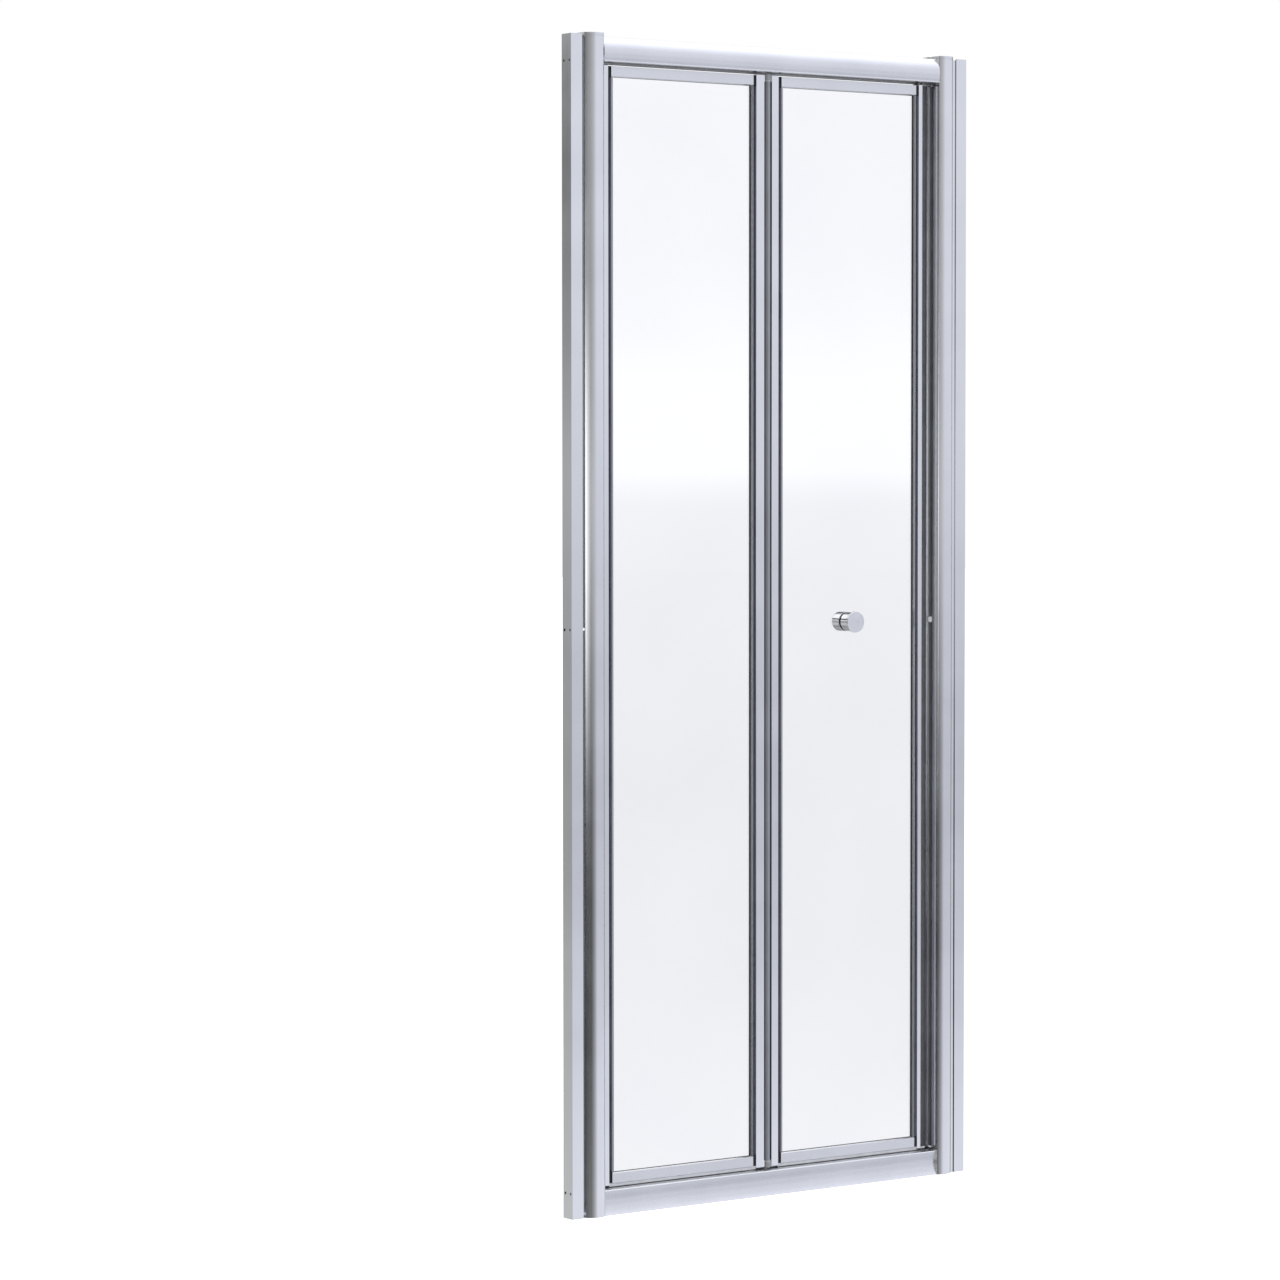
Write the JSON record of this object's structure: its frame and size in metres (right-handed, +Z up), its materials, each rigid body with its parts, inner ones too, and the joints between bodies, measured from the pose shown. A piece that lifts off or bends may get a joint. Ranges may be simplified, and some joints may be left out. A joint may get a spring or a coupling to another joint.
{
  "type": "bifold shower door",
  "caption": "Framed bifold shower door: two narrow glazed panels hinged together, folding inward between wall profiles, with head rail, sill rail and a round pull knob.",
  "frame": {"origin": "on the floor, in the middle of the door's width, in the front plane of the wall profiles", "axes": "+X along the door from the pivot jamb to the closing jamb, +Y from outside into the shower, +Z up"},
  "size_m": [0.8, 0.0538, 1.855],
  "materials": {
    "anodised_aluminium": "bright silver anodised extrusion, lightly brushed along its length",
    "cap_plastic": "silver-grey moulded cap, satin",
    "screw_steel": "zinc-plated steel",
    "white_plastic": "white moulded plastic, smooth",
    "black_nylon": "black nylon moulding, fine texture",
    "white_nylon": "natural nylon, waxy",
    "acetal": "natural acetal bush",
    "magnet_strip": "dark grey extruded vinyl over a magnetic strip",
    "soft_seal": "dark grey soft vinyl seal",
    "black_rubber": "black glazing rubber",
    "clear_glass": "4 mm clear toughened glass",
    "bright_steel": "stainless steel rod",
    "knob_chrome": "polished chrome plate"
  },
  "bodies": {
    "frame": {"wall_profile_left": "anodised_aluminium", "wall_profile_right": "anodised_aluminium", "jamb_left": "anodised_aluminium", "jamb_right": "anodised_aluminium", "jamb_cap_left": "cap_plastic", "jamb_cap_right": "cap_plastic", "head_rail": "anodised_aluminium", "bottom_rail": "anodised_aluminium", "jamb_screw_left": "screw_steel", "jamb_screw_right": "screw_steel", "screw_cap_left": "white_plastic", "screw_cap_right": "white_plastic", "head_rail_screws": "screw_steel", "bottom_rail_screws": "screw_steel", "track_liner": "white_plastic", "pivot_block_top": "black_nylon", "pivot_block_bottom": "black_nylon", "pivot_bush_top": "acetal", "pivot_bush_bottom": "acetal", "jamb_magnet_seal": "magnet_strip", "jamb_fin_seal": "soft_seal"},
    "pivot_panel": {"pivot_stile": "anodised_aluminium", "hinge_stile": "anodised_aluminium", "pivot_panel_top_rail": "anodised_aluminium", "pivot_panel_bottom_rail": "anodised_aluminium", "pivot_panel_glass": "clear_glass", "pivot_panel_gasket": "black_rubber", "pivot_panel_corner_blocks": "black_nylon", "pivot_panel_corner_screws": "screw_steel", "pivot_panel_drip_seal": "soft_seal", "pivot_shoe_top": "black_nylon", "pivot_shoe_bottom": "black_nylon", "pivot_pin_top": "bright_steel", "pivot_pin_bottom": "bright_steel"},
    "leading_panel": {"fold_stile": "anodised_aluminium", "leading_stile": "anodised_aluminium", "leading_panel_top_rail": "anodised_aluminium", "leading_panel_bottom_rail": "anodised_aluminium", "leading_panel_glass": "clear_glass", "leading_panel_gasket": "black_rubber", "leading_panel_corner_blocks": "black_nylon", "leading_panel_corner_screws": "screw_steel", "leading_panel_drip_seal": "soft_seal", "hinge_rod": "bright_steel", "hinge_shoe_top": "black_nylon", "hinge_shoe_bottom": "black_nylon", "hinge_washers": "white_plastic", "fold_seal": "soft_seal", "guide_shoe_top": "black_nylon", "guide_shoe_bottom": "black_nylon", "guide_pin_top": "bright_steel", "guide_pin_bottom": "bright_steel", "door_magnet_seal": "magnet_strip", "knob_outer": "knob_chrome", "knob_inner": "knob_chrome", "knob_gaskets": "black_rubber", "knob_spindle": "screw_steel"},
    "slider_top": {"guide_slider_top": "white_nylon"},
    "slider_bottom": {"guide_slider_bottom": "white_nylon"}
  },
  "joints": [
    {"name": "pivot_hinge", "type": "hinge", "parent": "frame", "child": "pivot_panel", "pos_m": [-0.324, 0.027, 0.925], "axis": [0, 0, 1], "range_deg": [0, 80]},
    {"name": "fold_hinge", "type": "hinge", "parent": "pivot_panel", "child": "leading_panel", "pos_m": [-0.0016, 0.018, 0.925], "axis": [0, 0, 1], "range_deg": [-160, 0]},
    {"name": "slider_top_swivel", "type": "hinge", "parent": "leading_panel", "child": "slider_top", "pos_m": [0.3208, 0.027, 0.925], "axis": [0, 0, 1], "range_deg": [0, 80]},
    {"name": "slider_bottom_swivel", "type": "hinge", "parent": "leading_panel", "child": "slider_bottom", "pos_m": [0.3208, 0.027, 0.925], "axis": [0, 0, 1], "range_deg": [0, 80]}
  ],
  "couplings": [
    {"joint": "fold_hinge", "follows": "pivot_hinge", "ratio": -2},
    {"joint": "slider_top_swivel", "follows": "pivot_hinge", "ratio": 1},
    {"joint": "slider_bottom_swivel", "follows": "pivot_hinge", "ratio": 1}
  ]
}
